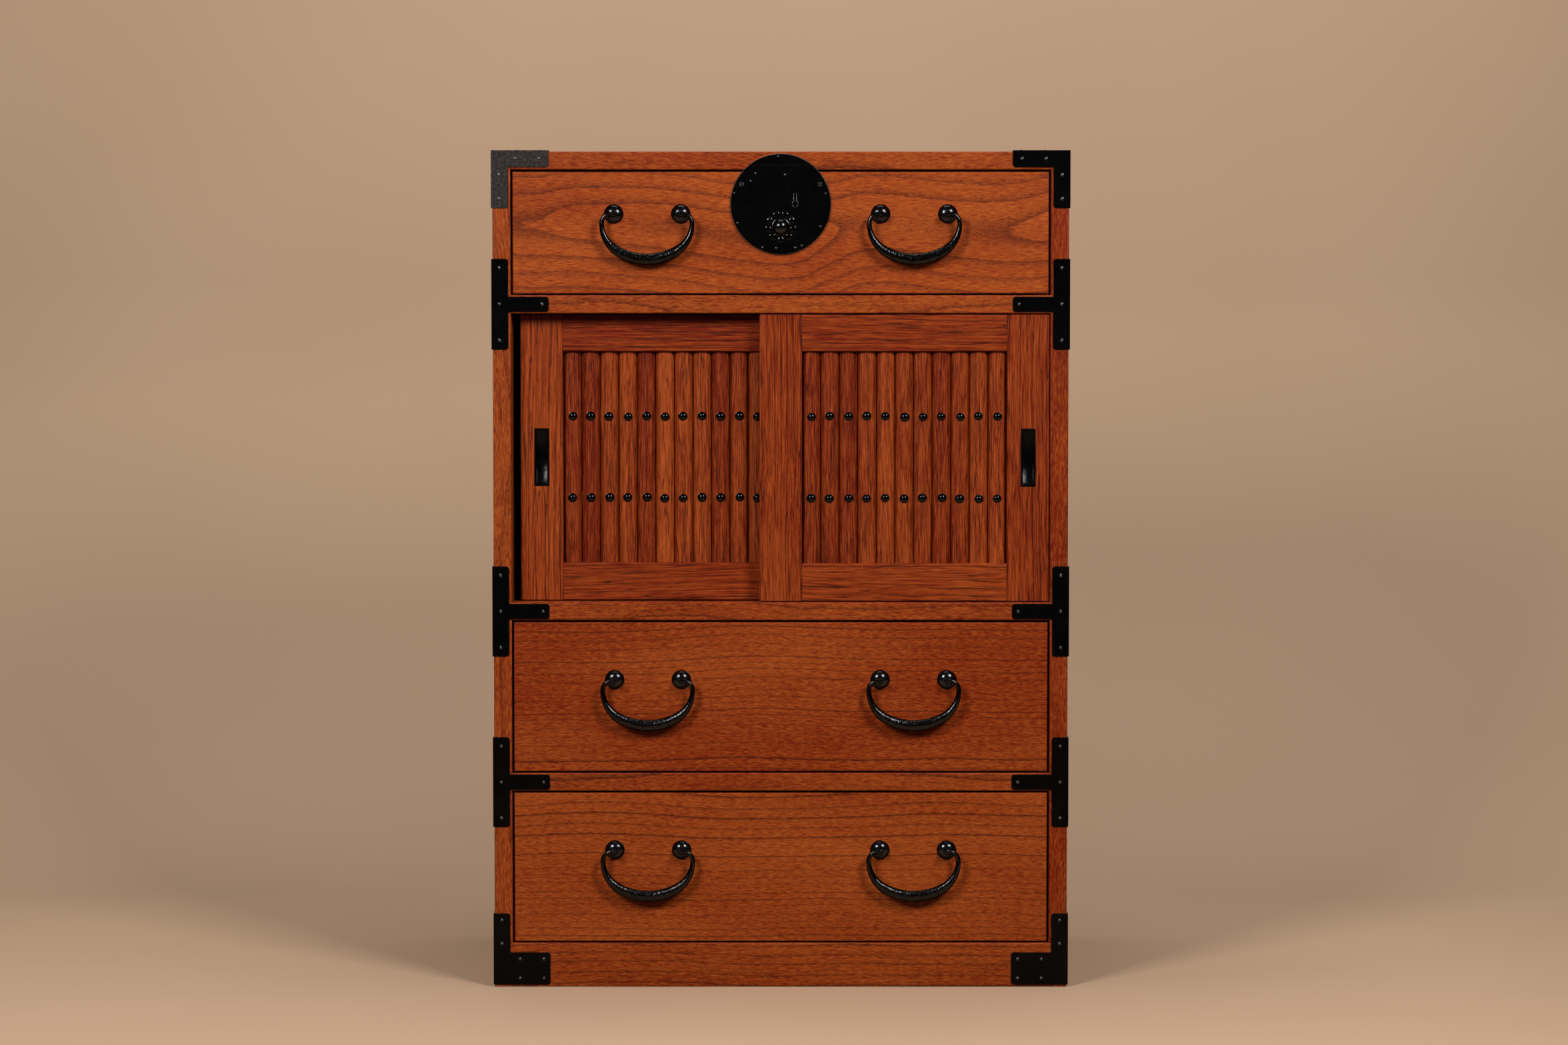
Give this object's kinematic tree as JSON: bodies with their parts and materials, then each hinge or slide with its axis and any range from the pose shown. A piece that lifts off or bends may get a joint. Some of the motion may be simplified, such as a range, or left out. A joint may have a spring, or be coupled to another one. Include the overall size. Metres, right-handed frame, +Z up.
{
  "type": "merchant chest",
  "caption": "Tall wooden merchant chest bound in black iron: a locking top drawer, a cupboard behind sliding slatted doors, deeper drawers below, forged bail handles.",
  "frame": {"origin": "on the floor under the middle of the chest, its handles included", "axes": "+X to the right as seen from the front, -Y out of the front, +Z up"},
  "size_m": [0.705, 0.4176, 1.0225],
  "materials": {
    "lacquered_wood": "satin amber-brown lacquer over open-grained elm",
    "plain_wood": "planed, unlacquered softwood of the inner boards and the back",
    "black_iron": "forged iron, black lacquered, satin gloss",
    "lock_steel": "bare filed steel"
  },
  "bodies": {
    "case": {"side_panel_left": "lacquered_wood", "side_panel_right": "lacquered_wood", "top_panel": "lacquered_wood", "upper_divider": "lacquered_wood", "middle_divider": "lacquered_wood", "lower_divider": "lacquered_wood", "bottom_panel": "plain_wood", "base_rail": "lacquered_wood", "back_boards": "plain_wood", "corner_iron_top_left": "black_iron", "corner_iron_top_right": "black_iron", "corner_iron_bottom_left": "black_iron", "corner_iron_bottom_right": "black_iron", "tee_irons_left": "black_iron", "tee_irons_right": "black_iron", "iron_nails": "black_iron", "lock_rail_plate": "black_iron"},
    "top_drawer": {"lock_plate": "black_iron", "lock_cover": "black_iron", "lock_boss_collar": "black_iron", "lock_boss": "black_iron", "lock_rivets": "black_iron", "lock_case": "lock_steel", "top_drawer_front": "lacquered_wood", "top_drawer_sides": "plain_wood", "top_drawer_back": "plain_wood", "top_drawer_bottom": "plain_wood", "top_drawer_rosettes": "black_iron", "top_drawer_eye_pins": "black_iron"},
    "lock_bolt": {"lock_bolt": "lock_steel"},
    "top_drawer_handle_left": {"top_drawer_handle_left": "black_iron"},
    "top_drawer_handle_right": {"top_drawer_handle_right": "black_iron"},
    "middle_drawer": {"middle_drawer_front": "lacquered_wood", "middle_drawer_sides": "plain_wood", "middle_drawer_back": "plain_wood", "middle_drawer_bottom": "plain_wood", "middle_drawer_rosettes": "black_iron", "middle_drawer_eye_pins": "black_iron"},
    "middle_drawer_handle_left": {"middle_drawer_handle_left": "black_iron"},
    "middle_drawer_handle_right": {"middle_drawer_handle_right": "black_iron"},
    "lower_drawer": {"lower_drawer_front": "lacquered_wood", "lower_drawer_sides": "plain_wood", "lower_drawer_back": "plain_wood", "lower_drawer_bottom": "plain_wood", "lower_drawer_rosettes": "black_iron", "lower_drawer_eye_pins": "black_iron"},
    "lower_drawer_handle_left": {"lower_drawer_handle_left": "black_iron"},
    "lower_drawer_handle_right": {"lower_drawer_handle_right": "black_iron"},
    "left_door": {"left_door_stiles": "lacquered_wood", "left_door_rails": "lacquered_wood", "left_door_slats": "lacquered_wood", "left_door_battens": "plain_wood", "left_door_nails": "black_iron", "left_door_pull": "black_iron"},
    "right_door": {"right_door_stiles": "lacquered_wood", "right_door_rails": "lacquered_wood", "right_door_slats": "lacquered_wood", "right_door_battens": "plain_wood", "right_door_nails": "black_iron", "right_door_pull": "black_iron"}
  },
  "joints": [
    {"name": "top_drawer_slide", "type": "slide", "parent": "case", "child": "top_drawer", "axis": [0, -1, 0], "range_m": [0, 0.28]},
    {"name": "top_drawer_handle_left_swing", "type": "hinge", "parent": "top_drawer", "child": "top_drawer_handle_left", "pos_m": [-0.162, -0.2041, 0.9445], "axis": [-1, 0, 0], "range_deg": [-9, 180]},
    {"name": "top_drawer_handle_right_swing", "type": "hinge", "parent": "top_drawer", "child": "top_drawer_handle_right", "pos_m": [0.162, -0.2041, 0.9445], "axis": [-1, 0, 0], "range_deg": [-9, 180]},
    {"name": "middle_drawer_slide", "type": "slide", "parent": "case", "child": "middle_drawer", "axis": [0, -1, 0], "range_m": [0, 0.28]},
    {"name": "middle_drawer_handle_left_swing", "type": "hinge", "parent": "middle_drawer", "child": "middle_drawer_handle_left", "pos_m": [-0.162, -0.2041, 0.3775], "axis": [-1, 0, 0], "range_deg": [-9, 180]},
    {"name": "middle_drawer_handle_right_swing", "type": "hinge", "parent": "middle_drawer", "child": "middle_drawer_handle_right", "pos_m": [0.162, -0.2041, 0.3775], "axis": [-1, 0, 0], "range_deg": [-9, 180]},
    {"name": "lower_drawer_slide", "type": "slide", "parent": "case", "child": "lower_drawer", "axis": [0, -1, 0], "range_m": [0, 0.28]},
    {"name": "lower_drawer_handle_left_swing", "type": "hinge", "parent": "lower_drawer", "child": "lower_drawer_handle_left", "pos_m": [-0.162, -0.2041, 0.1685], "axis": [-1, 0, 0], "range_deg": [-9, 180]},
    {"name": "lower_drawer_handle_right_swing", "type": "hinge", "parent": "lower_drawer", "child": "lower_drawer_handle_right", "pos_m": [0.162, -0.2041, 0.1685], "axis": [-1, 0, 0], "range_deg": [-9, 180]},
    {"name": "left_door_slide", "type": "slide", "parent": "case", "child": "left_door", "axis": [1, 0, 0], "range_m": [-0.009, 0.2925]},
    {"name": "right_door_slide", "type": "slide", "parent": "case", "child": "right_door", "axis": [1, 0, 0], "range_m": [-0.3015, 0]},
    {"name": "lock_bolt_slide", "type": "slide", "parent": "top_drawer", "child": "lock_bolt", "axis": [0, 0, 1], "range_m": [0, 0.011]}
  ]
}
